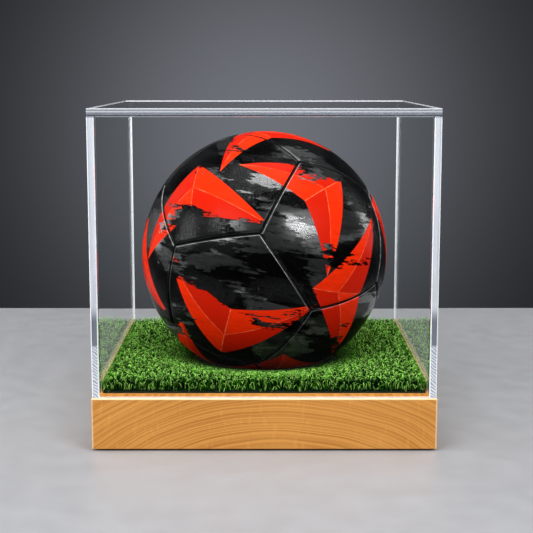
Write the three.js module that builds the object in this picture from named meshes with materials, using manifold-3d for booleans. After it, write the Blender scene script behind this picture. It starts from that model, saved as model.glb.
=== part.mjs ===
// A display case for a soccer ball: a clear cover of five bonded sheets stands on a wooden
// plinth, lifts straight off, and shuts in a square of artificial grass and the ball.
// Millimetres, +Z up, the front faces -Y. The origin is the middle of the footprint, on the
// surface that the four feet stand on.

import * as THREE from 'three';
import { mergeVertices } from 'three/addons/utils/BufferGeometryUtils.js';
import Module from 'manifold-3d';

const wasm = await Module();
wasm.setup();

// Plinth: four mitred rails round a deck, a bottom panel, glue blocks, screws and feet
const baseWidth = 280;
const baseDepth = 280;
const railHeight = 42;
const railThickness = 18;
const railEase = 0.8;
const deckThickness = 12;
const plateauHeight = 3;
const bottomThickness = 5;
const bottomRebate = 8;
const blockLeg = 40;
const footHeight = 1.5;
const footRadius = 7;
const footInset = 11;
const footEase = 0.3;
const screwInset = 31;
const screwLength = 18;
const screwRadius = 1.75;
const screwHeadRadius = 3.5;
const screwPointLength = 3;
const screwRecess = 0.2;
const driveSlotLength = 3.6;
const driveSlotWidth = 0.8;
const driveSlotDepth = 1.4;

// Cover
const coverInset = 0.75;
const ballHeadroom = 18;
const sheetThickness = 6;
const plateauClearance = 0.5;

// Ball and the ring that it rests in
const ballRadius = 110;
const ballSink = 14;
const panelThickness = 3.2;
const seamGap = 0.8;
const seamDepth = 1.5;
const liningThickness = 1.2;
const bladderThickness = 1;
const valveRadius = 3;
const valveFlangeRadius = 9;
const valveFlangeThickness = 1.5;
const ringHeight = 3;
const ringLand = 2.2;
const deckHoleClearance = 2.3;

// Artificial grass
const turfMargin = 1.75;
const turfHeight = 13;
const turfBackingThickness = 1.5;
const turfSliceThickness = 0.8;
const strandSpacing = 11.8;
const strandJitter = 1.6;
const strandRadius = 0.95;
const strandTipRadius = 0.3;
const strandLean = 3.2;
const strandEdgeMargin = 4.2;
const strandCutMargin = 1.6;
const pressedReach = 30;
const pressedHeight = 4;

// Clearances
const glueLine = 0.1;
const fitGap = 0.3;
const runningGap = 0.6;
const cutOverrun = 2;
const weldDistance = 0.0001;

// Turn of the ball in its seat, in degrees about X, Y and Z
const ballTurnDegrees = [-69.7, -41.6, 2.6];

// How finely round forms are divided
const holeSegments = 32;
const ringSegments = 48;
const smallSegments = 16;
const shellSegments = 24;
const shellSteps = 10;
const sideSteps = 4;
const railCornerSegments = 3;
const strandNumbersPerQuarter = 1000;

// Heights above the supporting surface
const ledgeZ = footHeight + railHeight;
const plateauZ = ledgeZ + plateauHeight;
const deckUndersideZ = plateauZ - deckThickness;
const coverZ = ledgeZ + glueLine;
const ballZ = plateauZ - ballSink + ballRadius;
const coverUndersideZ = ballZ + ballRadius + ballHeadroom;
const turfTopZ = plateauZ + turfHeight;
const turfSliceZ = plateauZ + 2 * glueLine + turfBackingThickness;

// Plan sizes that follow from the ones above
const plateauInset = coverInset + sheetThickness + plateauClearance;
const deckWidth = baseWidth - 2 * plateauInset;
const deckDepth = baseDepth - 2 * plateauInset;
const turfWidth = deckWidth - 2 * turfMargin;
const turfDepth = deckDepth - 2 * turfMargin;
const deckHoleRadius = ballRadiusAt(plateauZ, 0) + deckHoleClearance;
const ringTopZ = plateauZ + glueLine + ringHeight;
const ringTopRadius = ballRadiusAt(ringTopZ, fitGap);
const ringOuterRadius = ringTopRadius + ringLand;
const turfHoleRadius = ringOuterRadius + runningGap;

// Radius of the ball, grown by a clearance, where a level plane cuts it.
function ballRadiusAt(z, clearance) {
  const reach = ballRadius + clearance;
  return Math.sqrt(Math.max(reach * reach - (ballZ - z) * (ballZ - z), 0));
}

const colours = {
  acrylic: 0xe6edf2,
  maple: 0xd2934c,
  plywood: 0xc79a63,
  pine: 0xd9b57c,
  steel: 0x9a9a9c,
  rubber: 0x1c1c1c,
  felt: 0x2a2c28,
  latex: 0x2b2622,
  grass: 0x3f8f2a,
  grassBacking: 0x26331c,
  ballSkin: 0x1b1c1c,
  lining: 0xd8d5cc,
};

// One finish for each piece, with its colour, roughness and metalness.
function finish(colour, roughness, metalness = 0) {
  return new THREE.MeshStandardMaterial({ color: colour, roughness, metalness });
}

function clearFinish() {
  const material = finish(colours.acrylic, 0.06);
  material.transparent = true;
  material.opacity = 0.3;
  return material;
}

// A named mesh in a group, at a place.
function addPiece(parent, name, geometry, material, x = 0, y = 0, z = 0) {
  geometry.computeVertexNormals();
  const mesh = new THREE.Mesh(geometry, material);
  mesh.name = name;
  mesh.position.set(x, y, z);
  parent.add(mesh);
  return mesh;
}

// A closed geometry as a solid that can be joined and cut.
function toSolid(geometry) {
  const bare = geometry.clone();
  for (const name of Object.keys(bare.attributes)) {
    if (name !== 'position') bare.deleteAttribute(name);
  }
  const welded = mergeVertices(bare, weldDistance);
  const corners = [];
  const index = welded.index.array;
  for (let i = 0; i < index.length; i += 3) {
    const [a, b, c] = [index[i], index[i + 1], index[i + 2]];
    if (a !== b && b !== c && a !== c) corners.push(a, b, c);
  }
  const vertProperties = new Float32Array(welded.attributes.position.array);
  const mesh = new wasm.Mesh({ numProp: 3, vertProperties, triVerts: new Uint32Array(corners) });
  return new wasm.Manifold(mesh);
}

function toGeometry(solid) {
  const mesh = solid.getMesh();
  const geometry = new THREE.BufferGeometry();
  geometry.setAttribute('position', new THREE.BufferAttribute(new Float32Array(mesh.vertProperties), 3));
  geometry.setIndex(new THREE.BufferAttribute(new Uint32Array(mesh.triVerts), 1));
  return geometry;
}

function fromTriangles(points, triangles) {
  const geometry = new THREE.BufferGeometry();
  geometry.setAttribute('position', new THREE.Float32BufferAttribute(points.flat(), 3));
  geometry.setIndex(triangles.flat());
  return geometry;
}

// A turned piece: a profile of [radius, height] points about the Z axis.
function turned(profile, segments) {
  const points = profile.map(([radius, height]) => new THREE.Vector2(radius, height));
  return new THREE.LatheGeometry(points, segments).rotateX(Math.PI / 2);
}

// A flat plate from an outline, from height zero upwards.
function plate(shape, thickness, curveSegments = holeSegments) {
  return new THREE.ExtrudeGeometry(shape, { depth: thickness, bevelEnabled: false, curveSegments });
}

function rectangle(width, depth) {
  const shape = new THREE.Shape();
  shape.moveTo(-width / 2, -depth / 2);
  shape.lineTo(width / 2, -depth / 2);
  shape.lineTo(width / 2, depth / 2);
  shape.lineTo(-width / 2, depth / 2);
  shape.closePath();
  return shape;
}

function roundHole(radius) {
  const hole = new THREE.Path();
  hole.absarc(0, 0, radius, 0, 2 * Math.PI, true);
  return hole;
}

// The rail's section in [distance in from the outer face, height]: an eased outer edge, a lip
// that the cover stands on, a rebate for the deck, and a rebate below for the bottom panel.
function railSection() {
  const lipWidth = plateauInset - fitGap;
  const deckSeat = railHeight + plateauHeight - deckThickness - glueLine;
  const panelSeat = bottomThickness + glueLine;
  const shape = new THREE.Shape();
  shape.moveTo(railEase, 0);
  shape.lineTo(railThickness - bottomRebate, 0);
  shape.lineTo(railThickness - bottomRebate, panelSeat);
  shape.lineTo(railThickness, panelSeat);
  shape.lineTo(railThickness, deckSeat);
  shape.lineTo(lipWidth, deckSeat);
  shape.lineTo(lipWidth, railHeight);
  shape.lineTo(railEase, railHeight);
  shape.quadraticCurveTo(0, railHeight, 0, railHeight - railEase);
  shape.lineTo(0, railEase);
  shape.quadraticCurveTo(0, 0, railEase, 0);
  return shape;
}

// A rail along X with both ends cut to a mitre, its outer face at y = 0 and its back towards +Y.
function mitredRail(length) {
  const geometry = plate(railSection(), 1, railCornerSegments);
  const place = geometry.attributes.position;
  for (let i = 0; i < place.count; i += 1) {
    const inset = place.getX(i);
    const height = place.getY(i);
    const end = place.getZ(i) > 0.5 ? 1 : -1;
    const reach = length / 2 - inset - fitGap / 2;
    place.setXYZ(i, end * reach, inset, height);
  }
  return geometry;
}

function addRails(parent) {
  const sides = [
    ['base_rail_front', baseWidth, baseDepth, 0],
    ['base_rail_right', baseDepth, baseWidth, 1],
    ['base_rail_back', baseWidth, baseDepth, 2],
    ['base_rail_left', baseDepth, baseWidth, 3],
  ];
  for (const [name, length, across, quarter] of sides) {
    const turn = new THREE.Group();
    turn.rotation.z = quarter * Math.PI / 2;
    parent.add(turn);
    addPiece(turn, name, mitredRail(length), finish(colours.maple, 0.42), 0, -across / 2, footHeight);
  }
}

function addDeck(parent) {
  const shape = rectangle(deckWidth, deckDepth);
  shape.holes.push(roundHole(deckHoleRadius));
  const deck = plate(shape, deckThickness);
  addPiece(parent, 'base_deck', deck, finish(colours.maple, 0.42), 0, 0, deckUndersideZ);
}

// A countersunk screw that points up, grown by a clearance where it is used as a cutter.
function screwBody(clearance) {
  const shank = screwRadius + clearance;
  const head = screwHeadRadius + clearance;
  const start = clearance > 0 ? -cutOverrun : 0;
  const profile = [
    [0, start],
    [head, start],
    [head, 0],
    [shank, head - shank],
    [shank, screwLength - screwPointLength + clearance],
    [0, screwLength + clearance],
  ];
  return turned(profile, smallSegments);
}

function screwWithDrive() {
  const depth = driveSlotDepth + cutOverrun;
  const along = new THREE.BoxGeometry(driveSlotLength, driveSlotWidth, depth);
  const across = new THREE.BoxGeometry(driveSlotWidth, driveSlotLength, depth);
  along.translate(0, 0, driveSlotDepth - depth / 2);
  across.translate(0, 0, driveSlotDepth - depth / 2);
  const drive = toSolid(along).add(toSolid(across));
  return toGeometry(toSolid(screwBody(0)).subtract(drive));
}

// The four corners in turn: front left, front right, back right, back left.
const corners = [
  { label: '1', sideX: -1, sideY: -1 },
  { label: '2', sideX: 1, sideY: -1 },
  { label: '3', sideX: 1, sideY: 1 },
  { label: '4', sideX: -1, sideY: 1 },
];

function cornerPlace(corner, inset) {
  return [corner.sideX * (baseWidth / 2 - inset), corner.sideY * (baseDepth / 2 - inset)];
}

function addBottomPanel(parent) {
  const inset = railThickness - bottomRebate + fitGap;
  const shape = rectangle(baseWidth - 2 * inset, baseDepth - 2 * inset);
  let panel = toSolid(plate(shape, bottomThickness));
  for (const corner of corners) {
    const [x, y] = cornerPlace(corner, screwInset);
    panel = panel.subtract(toSolid(screwBody(glueLine).translate(x, y, screwRecess)));
  }
  addPiece(parent, 'bottom_panel', toGeometry(panel), finish(colours.plywood, 0.6), 0, 0, footHeight);
}

// Triangular glue blocks fill the corners between the bottom panel and the deck.
function addCornerBlocks(parent) {
  const inset = railThickness + glueLine;
  const lowZ = footHeight + bottomThickness + glueLine;
  const height = deckUndersideZ - glueLine - lowZ;
  const shape = new THREE.Shape();
  shape.moveTo(0, 0);
  shape.lineTo(blockLeg, 0);
  shape.lineTo(0, blockLeg);
  shape.closePath();
  corners.forEach((corner, quarter) => {
    const [x, y] = cornerPlace(corner, inset);
    const [screwX, screwY] = cornerPlace(corner, screwInset);
    const cutter = screwBody(glueLine).translate(screwX, screwY, footHeight + screwRecess - lowZ);
    const block = plate(shape, height).rotateZ(quarter * Math.PI / 2).translate(x, y, 0);
    const bored = toGeometry(toSolid(block).subtract(toSolid(cutter)));
    addPiece(parent, `corner_block_${corner.label}`, bored, finish(colours.pine, 0.7), 0, 0, lowZ);
  });
}

function addScrews(parent) {
  for (const corner of corners) {
    const [x, y] = cornerPlace(corner, screwInset);
    const name = `bottom_screw_${corner.label}`;
    addPiece(parent, name, screwWithDrive(), finish(colours.steel, 0.35, 1), x, y, footHeight + screwRecess);
  }
}

function addFeet(parent) {
  const height = footHeight - glueLine;
  const profile = [
    [0, 0],
    [footRadius - footEase, 0],
    [footRadius, footEase],
    [footRadius, height],
    [0, height],
  ];
  for (const corner of corners) {
    const [x, y] = cornerPlace(corner, footInset);
    const foot = turned(profile, smallSegments);
    addPiece(parent, `foot_${corner.label}`, foot, finish(colours.rubber, 0.8), x, y, 0);
  }
}

// The ring that carries the ball: its inner face slopes as the ball does.
function addSeatRing(parent) {
  const lowZ = plateauZ + glueLine;
  const reach = ballRadius + fitGap;
  const slopeZ = ballZ - Math.sqrt(reach * reach - deckHoleRadius * deckHoleRadius);
  const profile = [
    [deckHoleRadius, lowZ],
    [ringOuterRadius, lowZ],
    [ringOuterRadius, ringTopZ],
    [ringTopRadius, ringTopZ],
    [deckHoleRadius, slopeZ],
    [deckHoleRadius, lowZ],
  ];
  addPiece(parent, 'ball_seat_ring', turned(profile, ringSegments), finish(colours.felt, 0.95));
}

// Five flat sheets: the top lies over the four walls, and the side walls lap the front and back.
function addCover(parent) {
  const width = baseWidth - 2 * coverInset;
  const depth = baseDepth - 2 * coverInset;
  const wallHeight = coverUndersideZ - glueLine - coverZ;
  const innerWidth = width - 2 * sheetThickness - 2 * glueLine;
  const wallZ = coverZ + wallHeight / 2;
  const topZ = coverUndersideZ + sheetThickness / 2;
  const sideX = (width - sheetThickness) / 2;
  const endY = (depth - sheetThickness) / 2;
  const endSheet = () => new THREE.BoxGeometry(innerWidth, sheetThickness, wallHeight);
  const sideSheet = () => new THREE.BoxGeometry(sheetThickness, depth, wallHeight);
  addPiece(parent, 'cover_front', endSheet(), clearFinish(), 0, -endY, wallZ);
  addPiece(parent, 'cover_back', endSheet(), clearFinish(), 0, endY, wallZ);
  addPiece(parent, 'cover_left', sideSheet(), clearFinish(), -sideX, 0, wallZ);
  addPiece(parent, 'cover_right', sideSheet(), clearFinish(), sideX, 0, wallZ);
  const top = new THREE.BoxGeometry(width, depth, sheetThickness);
  addPiece(parent, 'cover_top', top, clearFinish(), 0, 0, topZ);
}

// A number from 0 to 1 that looks like chance, but is always the same for the same strand and use.
function steadyChance(strand, use) {
  const strandTurn = 12.9898;
  const useTurn = 78.233;
  const spread = 43758.5453;
  const wave = Math.sin(strand * strandTurn + use * useTurn) * spread;
  return wave - Math.floor(wave);
}

// One blade: a three-sided taper that leans over towards its tip.
function strandShape(root, lean, height, spin) {
  const levelShares = [0, 0.6];
  const sides = 3;
  const points = [];
  const triangles = [];
  const sink = turfSliceThickness / 2;
  for (const share of levelShares) {
    const radius = THREE.MathUtils.lerp(strandRadius, strandTipRadius, share);
    for (let side = 0; side < sides; side += 1) {
      const angle = spin + side * 2 * Math.PI / sides;
      points.push([
        root.x + lean.x * share * share + radius * Math.cos(angle),
        root.y + lean.y * share * share + radius * Math.sin(angle),
        root.z - sink + (height + sink) * share,
      ]);
    }
  }
  points.push([root.x + lean.x, root.y + lean.y, root.z + height]);
  triangles.push([0, 2, 1]);
  for (let level = 0; level + 1 < levelShares.length; level += 1) {
    for (let side = 0; side < sides; side += 1) {
      const a = level * sides + side;
      const b = level * sides + (side + 1) % sides;
      triangles.push([a, b, b + sides], [a, b + sides, a + sides]);
    }
  }
  const tip = points.length - 1;
  for (let side = 0; side < sides; side += 1) {
    triangles.push([tip - sides + side, tip - sides + (side + 1) % sides, tip]);
  }
  return { points, triangles };
}

// The four quarters of the mat, met on its diagonals: the way out from the middle, and the name.
const quarters = [
  { name: 'turf_pile_front', quarter: 0, length: turfWidth, across: turfDepth },
  { name: 'turf_pile_right', quarter: 1, length: turfDepth, across: turfWidth },
  { name: 'turf_pile_back', quarter: 2, length: turfWidth, across: turfDepth },
  { name: 'turf_pile_left', quarter: 3, length: turfDepth, across: turfWidth },
];

// A quarter's slice of backing, drawn as the front one, with its outer edge towards -Y.
function quarterSlice(quarter) {
  const halfLength = quarter.length / 2;
  const halfAcross = quarter.across / 2;
  const diagonal = Math.atan2(halfAcross, halfLength);
  const turnIn = fitGap / 2 / turfHoleRadius;
  const from = Math.PI + diagonal + turnIn;
  const to = 2 * Math.PI - diagonal - turnIn;
  const shape = new THREE.Shape();
  shape.moveTo(-halfLength + fitGap, -halfAcross);
  shape.lineTo(turfHoleRadius * Math.cos(from), turfHoleRadius * Math.sin(from));
  shape.absarc(0, 0, turfHoleRadius, from, to, false);
  shape.lineTo(halfLength - fitGap, -halfAcross);
  shape.closePath();
  return plate(shape, turfSliceThickness, holeSegments / 4);
}

// How tall a blade stands: full height, but pressed down towards the ball.
function strandHeightAt(distance) {
  const full = turfTopZ - turfSliceZ - turfSliceThickness;
  const share = THREE.MathUtils.smoothstep(distance, turfHoleRadius, turfHoleRadius + pressedReach);
  return THREE.MathUtils.lerp(pressedHeight, full, share);
}

// The blades that stand on one quarter, as one set of separate closed shapes.
function quarterStrands(quarter) {
  const points = [];
  const triangles = [];
  const rows = Math.floor((quarter.across / 2 - strandEdgeMargin) / strandSpacing);
  const columns = Math.floor((quarter.length - 2 * strandEdgeMargin) / strandSpacing);
  const slope = quarter.length / quarter.across;
  for (let row = 0; row <= rows; row += 1) {
    for (let column = 0; column <= columns; column += 1) {
      const strand = 1 + row * (columns + 1) + column + quarter.quarter * strandNumbersPerQuarter;
      const shift = (row % 2 === 0 ? 0 : strandSpacing / 2);
      const x = (column - columns / 2) * strandSpacing + shift
        + (steadyChance(strand, 1) - 0.5) * 2 * strandJitter;
      const y = -quarter.across / 2 + strandEdgeMargin + row * strandSpacing
        + (steadyChance(strand, 2) - 0.5) * strandJitter;
      const distance = Math.hypot(x, y);
      const outsideHole = distance > turfHoleRadius + strandCutMargin;
      const insideDiagonal = Math.abs(x) < -y * slope - strandLean - strandCutMargin;
      if (!outsideHole || !insideDiagonal) continue;
      const height = strandHeightAt(distance);
      const nearBall = distance < turfHoleRadius + pressedReach;
      const turn = steadyChance(strand, 3) * 2 * Math.PI;
      const outward = Math.atan2(y, x);
      const angle = nearBall ? outward : turn;
      const reach = strandLean * (nearBall ? 1 : 0.5 + 0.5 * steadyChance(strand, 4));
      const lean = { x: reach * Math.cos(angle), y: reach * Math.sin(angle) };
      const root = { x, y, z: turfSliceThickness };
      const blade = strandShape(root, lean, height, turn);
      const first = points.length;
      points.push(...blade.points);
      triangles.push(...blade.triangles.map((triangle) => triangle.map((corner) => corner + first)));
    }
  }
  return fromTriangles(points, triangles);
}

function addTurf(parent) {
  const shape = rectangle(turfWidth, turfDepth);
  shape.holes.push(roundHole(turfHoleRadius));
  const backing = plate(shape, turfBackingThickness);
  addPiece(parent, 'turf_backing', backing, finish(colours.grassBacking, 0.95), 0, 0, plateauZ + glueLine);
  for (const quarter of quarters) {
    const turn = new THREE.Group();
    turn.rotation.z = quarter.quarter * Math.PI / 2;
    parent.add(turn);
    const pile = toSolid(quarterSlice(quarter)).add(toSolid(quarterStrands(quarter)));
    addPiece(turn, quarter.name, toGeometry(pile), finish(colours.grass, 0.7), 0, 0, turfSliceZ);
  }
}

// The twelve panels are the faces of a regular dodecahedron drawn on the ball.
const goldenRatio = (1 + Math.sqrt(5)) / 2;

function dodecahedronCorners() {
  const found = [];
  const signs = [-1, 1];
  for (const a of signs) {
    for (const b of signs) {
      found.push([0, a * goldenRatio, b / goldenRatio]);
      found.push([a * goldenRatio, b / goldenRatio, 0]);
      found.push([a / goldenRatio, 0, b * goldenRatio]);
      for (const c of signs) found.push([a, b, c]);
    }
  }
  return found.map((point) => new THREE.Vector3(...point).normalize());
}

function dodecahedronFaces() {
  const found = [];
  const signs = [-1, 1];
  for (const a of signs) {
    for (const b of signs) {
      found.push([0, a, b * goldenRatio]);
      found.push([a, b * goldenRatio, 0]);
      found.push([a * goldenRatio, 0, b]);
    }
  }
  return found.map((point) => new THREE.Vector3(...point).normalize());
}

// The turn that takes a panel drawn round +Z, with a corner towards +X, to its face.
function faceTurn(face) {
  const cornersByDistance = dodecahedronCorners().sort((a, b) => b.dot(face) - a.dot(face));
  const out = face.clone();
  const side = cornersByDistance[0].clone().addScaledVector(out, -cornersByDistance[0].dot(out)).normalize();
  const basis = new THREE.Matrix4().makeBasis(side, out.clone().cross(side), out);
  return new THREE.Quaternion().setFromRotationMatrix(basis);
}

// The angle from a face's middle to its corners, and to the middle of its sides.
const faceCornerAngle = Math.acos(Math.sqrt((5 + 2 * Math.sqrt(5)) / 15));
const faceSideAngle = Math.acos(Math.sqrt((5 + Math.sqrt(5)) / 10));

// A panel's shoulder starts down by this share of the seam's depth, and its inner face is drawn
// in rings no further apart than this share of the way from its middle to its corners.
const seamShoulderShare = 0.125;
const innerRingStepShare = 0.4;

// Points round a panel's rim as [turn about the middle, angle from the middle].
function panelRim() {
  const rim = [];
  for (let side = 0; side < 5; side += 1) {
    for (let step = 0; step < sideSteps; step += 1) {
      const turn = side * 2 * Math.PI / 5;
      const nextTurn = (side + 1) * 2 * Math.PI / 5;
      const start = new THREE.Vector3().setFromSphericalCoords(1, faceCornerAngle, turn);
      const end = new THREE.Vector3().setFromSphericalCoords(1, faceCornerAngle, nextTurn);
      const point = start.lerp(end, step / sideSteps).normalize();
      rim.push([Math.atan2(point.x, point.z), Math.acos(point.y)]);
    }
  }
  return rim;
}

// One panel round +Z: its outer face is full and turns down into the seam at the rim.
function ballPanel() {
  const rim = panelRim();
  const shrinkShare = 1 - seamGap / 2 / (ballRadius * faceSideAngle);
  const innerRadius = ballRadius - panelThickness;
  const outerRings = [
    { share: 0.38, radius: ballRadius },
    { share: 0.74, radius: ballRadius },
    { share: 0.94, radius: ballRadius - seamDepth * seamShoulderShare },
    { share: 1, radius: ballRadius - seamDepth },
  ];
  const innerRings = [
    { share: 1, radius: innerRadius },
    { share: 0.68, radius: innerRadius },
    { share: 0.35, radius: innerRadius },
  ];
  const rings = [...outerRings, ...innerRings];
  const points = [];
  const triangles = [];
  for (const ring of rings) {
    for (const [turn, angle] of rim) {
      const lean = angle * shrinkShare * ring.share;
      const level = ring.radius * Math.sin(lean);
      points.push([level * Math.cos(turn), level * Math.sin(turn), ring.radius * Math.cos(lean)]);
    }
  }
  const count = rim.length;
  const outerMiddle = points.push([0, 0, ballRadius]) - 1;
  const innerMiddle = points.push([0, 0, innerRadius]) - 1;
  for (let i = 0; i < count; i += 1) {
    const next = (i + 1) % count;
    triangles.push([outerMiddle, i, next]);
    for (let ring = 0; ring + 1 < rings.length; ring += 1) {
      const a = ring * count + i;
      const b = ring * count + next;
      triangles.push([a, a + count, b + count], [a, b + count, b]);
    }
    const last = (rings.length - 1) * count;
    triangles.push([innerMiddle, last + next, last + i]);
  }
  return fromTriangles(points, triangles);
}

// A round shell with a bore at its +Z pole.
function boredShell(outerRadius, thickness, boreRadius) {
  const innerRadius = outerRadius - thickness;
  const outerBore = Math.asin(boreRadius / outerRadius);
  const innerBore = Math.asin(boreRadius / innerRadius);
  const profile = [];
  for (let step = 0; step <= shellSteps; step += 1) {
    const angle = Math.PI - (Math.PI - outerBore) * step / shellSteps;
    profile.push([step === 0 ? 0 : outerRadius * Math.sin(angle), outerRadius * Math.cos(angle)]);
  }
  for (let step = shellSteps; step >= 0; step -= 1) {
    const angle = Math.PI - (Math.PI - innerBore) * step / shellSteps;
    profile.push([step === 0 ? 0 : innerRadius * Math.sin(angle), innerRadius * Math.cos(angle)]);
  }
  return turned(profile, shellSegments);
}

// How far a flat facet between two points on a sphere lies inside it.
function facetDip(radius, angle) {
  return radius * (1 - Math.cos(angle / 2));
}

function addBall(parent) {
  const ball = new THREE.Group();
  ball.position.set(0, 0, ballZ);
  ball.rotation.set(...ballTurnDegrees.map(THREE.MathUtils.degToRad), 'XYZ');
  parent.add(ball);

  const panelInner = ballRadius - panelThickness;
  const liningOuter = panelInner - facetDip(panelInner, faceCornerAngle * innerRingStepShare) - fitGap;
  const bladderOuter = liningOuter - liningThickness - fitGap;
  const valveBore = valveRadius + fitGap;

  // The valve shows in the panel that faces the back of the case.
  const faces = dodecahedronFaces();
  const toBack = new THREE.Vector3(0, 1, 0).applyQuaternion(ball.quaternion.clone().invert());
  const valveFace = [...faces].sort((a, b) => b.dot(toBack) - a.dot(toBack))[0];

  faces.forEach((face, order) => {
    let geometry = ballPanel();
    if (face === valveFace) {
      const cutter = new THREE.CylinderGeometry(valveBore, valveBore, ballRadius, smallSegments);
      cutter.rotateX(Math.PI / 2).translate(0, 0, ballRadius);
      geometry = toGeometry(toSolid(geometry).subtract(toSolid(cutter)));
    }
    const name = `ball_panel_${String(order + 1).padStart(2, '0')}`;
    const panel = addPiece(ball, name, geometry, finish(colours.ballSkin, 0.4));
    panel.quaternion.copy(faceTurn(face));
  });

  const inner = new THREE.Group();
  inner.quaternion.copy(faceTurn(valveFace));
  ball.add(inner);
  const lining = boredShell(liningOuter, liningThickness, valveBore);
  const bladder = boredShell(bladderOuter, bladderThickness, valveBore);
  addPiece(inner, 'ball_lining', lining, finish(colours.lining, 0.9));
  addPiece(inner, 'ball_bladder', bladder, finish(colours.latex, 0.5));

  // The valve's stem runs through the bores, with a flange inside the bladder.
  const bladderInner = bladderOuter - bladderThickness;
  const flangeTop = Math.sqrt(bladderInner ** 2 - valveFlangeRadius ** 2)
    - facetDip(bladderInner, Math.PI / shellSteps) - glueLine;
  const profile = [
    [0, flangeTop - valveFlangeThickness],
    [valveFlangeRadius, flangeTop - valveFlangeThickness],
    [valveFlangeRadius, flangeTop],
    [valveRadius, flangeTop],
    [valveRadius, ballRadius - fitGap],
    [0, ballRadius - fitGap],
  ];
  addPiece(inner, 'ball_valve', turned(profile, smallSegments), finish(colours.rubber, 0.6));
}

const group = new THREE.Group();
addRails(group);
addDeck(group);
addBottomPanel(group);
addCornerBlocks(group);
addScrews(group);
addFeet(group);
addSeatRing(group);
addTurf(group);
addBall(group);
addCover(group);

export default group;
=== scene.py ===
# %% [markdown]
# # A ball display case, dressed in Blender
# The case is a wooden plinth with a mat of artificial grass, a ball that rests in the grass, and a loose
# cover of clear acrylic. Its solids were drawn in a CAD program and packed, in metres, around one shared
# origin. They could be textured by hand in another file, but then each change to the drawing would be lost.
# Loading them as a fixed frame keeps every new piece in its right place.

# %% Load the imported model
import math

import bpy
import numpy as np
from mathutils import Matrix, Vector


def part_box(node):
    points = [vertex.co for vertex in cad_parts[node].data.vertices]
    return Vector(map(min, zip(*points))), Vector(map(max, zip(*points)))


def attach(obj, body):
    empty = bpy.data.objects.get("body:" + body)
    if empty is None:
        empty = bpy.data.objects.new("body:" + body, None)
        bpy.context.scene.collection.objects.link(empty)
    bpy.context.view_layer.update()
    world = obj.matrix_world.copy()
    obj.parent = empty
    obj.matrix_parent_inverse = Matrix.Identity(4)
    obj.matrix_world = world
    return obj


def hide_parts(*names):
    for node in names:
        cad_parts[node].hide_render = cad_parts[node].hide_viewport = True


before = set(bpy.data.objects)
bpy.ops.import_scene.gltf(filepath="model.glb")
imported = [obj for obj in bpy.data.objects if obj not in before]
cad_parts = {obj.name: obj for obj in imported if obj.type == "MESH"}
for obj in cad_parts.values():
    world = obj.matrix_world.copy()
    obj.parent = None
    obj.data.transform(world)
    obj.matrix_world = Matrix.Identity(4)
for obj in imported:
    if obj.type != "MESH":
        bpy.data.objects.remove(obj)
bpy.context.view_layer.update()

# %% [markdown]
# ## Sizes
# A maker measures the plinth before cutting the mat to fit. The same is done here: each size is read from
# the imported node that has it, so that the grass, the ball and the sheets follow the drawing if it changes.

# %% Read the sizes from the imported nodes
MM = 0.001
ball_names = [f"ball_panel_{number:02d}" for number in range(1, 13)]
sides = ("front", "right", "back", "left")

ball_boxes = [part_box(name) for name in ball_names]
ball_low = min(low.z for low, high in ball_boxes)
ball_high = max(high.z for low, high in ball_boxes)
ball_radius = (ball_high - ball_low) / 2
ball_centre = Vector((0, 0, (ball_high + ball_low) / 2))
plateau_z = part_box("base_deck")[1].z
mat_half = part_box("turf_backing")[1].x
mat_bottom = min(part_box(f"turf_pile_{side}")[0].z for side in sides)
mat_top = max(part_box(f"turf_pile_{side}")[1].z for side in sides)
hole_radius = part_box("ball_seat_ring")[1].x + 0.6 * MM
rail_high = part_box("base_rail_front")[1]
print("ball radius and centre:", round(ball_radius, 4), tuple(round(v, 4) for v in ball_centre))
print("grass from", round(mat_bottom, 4), "to", round(mat_top, 4), "half width", round(mat_half, 4))

# %% [markdown]
# ## Helpers for modelling
# Blender's operators act on whatever is selected, just as the tools do when a person models by hand.
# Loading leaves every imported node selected, so each new piece starts by clearing the selection. A finished
# piece keeps its object at the origin, unturned and unscaled, so that patterns and poses stay in step with
# the drawing.

# %% Selection, modifiers and the last step of a piece
def clear_selection():
    bpy.ops.object.select_all(action="DESELECT")
    bpy.context.view_layer.objects.active = None


def choose(piece):
    clear_selection()
    piece.select_set(True)
    bpy.context.view_layer.objects.active = piece


def edit(piece):
    choose(piece)
    bpy.ops.object.mode_set(mode="EDIT")
    bpy.ops.mesh.select_all(action="SELECT")


def leave_edit():
    bpy.ops.object.mode_set(mode="OBJECT")


def apply_modifier(piece, kind, **settings):
    choose(piece)
    modifier = piece.modifiers.new(kind.lower(), kind)
    for setting, value in settings.items():
        setattr(modifier, setting, value)
    bpy.ops.object.modifier_apply(modifier=modifier.name)


def settle(piece, name):
    piece.name = name
    piece.data.name = name
    choose(piece)
    bpy.ops.object.transform_apply(location=True, rotation=True, scale=True)


def bore(piece, vertices, radius, place, turn=(0, 0, 0)):
    """Cuts a round hole by taking a cylinder away from the piece."""
    clear_selection()
    bpy.ops.mesh.primitive_cylinder_add(vertices=vertices, radius=radius, depth=20 * MM, location=place,
                                        rotation=turn)
    cutter = bpy.context.object
    apply_modifier(piece, "BOOLEAN", object=cutter, operation="DIFFERENCE", solver="EXACT")
    bpy.data.objects.remove(cutter)


def new_object(name, data):
    piece = bpy.data.objects.new(name, data)
    bpy.context.scene.collection.objects.link(piece)
    return piece


def faces_of(piece):
    return sum(len(face.vertices) - 2 for face in piece.data.polygons)


# %% [markdown]
# ## Helpers for materials
# A material is a small network of nodes. Blender's node editor shows one such tree at a time, and the
# helpers work in the same way. Opening a material, a group or the world makes its tree the current one, and
# each helper then adds one node to it in one line, which keeps a recipe readable from top to bottom.

# %% Nodes in one line
class Editor:
    """Holds the node tree that is open."""
    tree = None


def link(source, target):
    Editor.tree.links.new(source, target)


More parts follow.
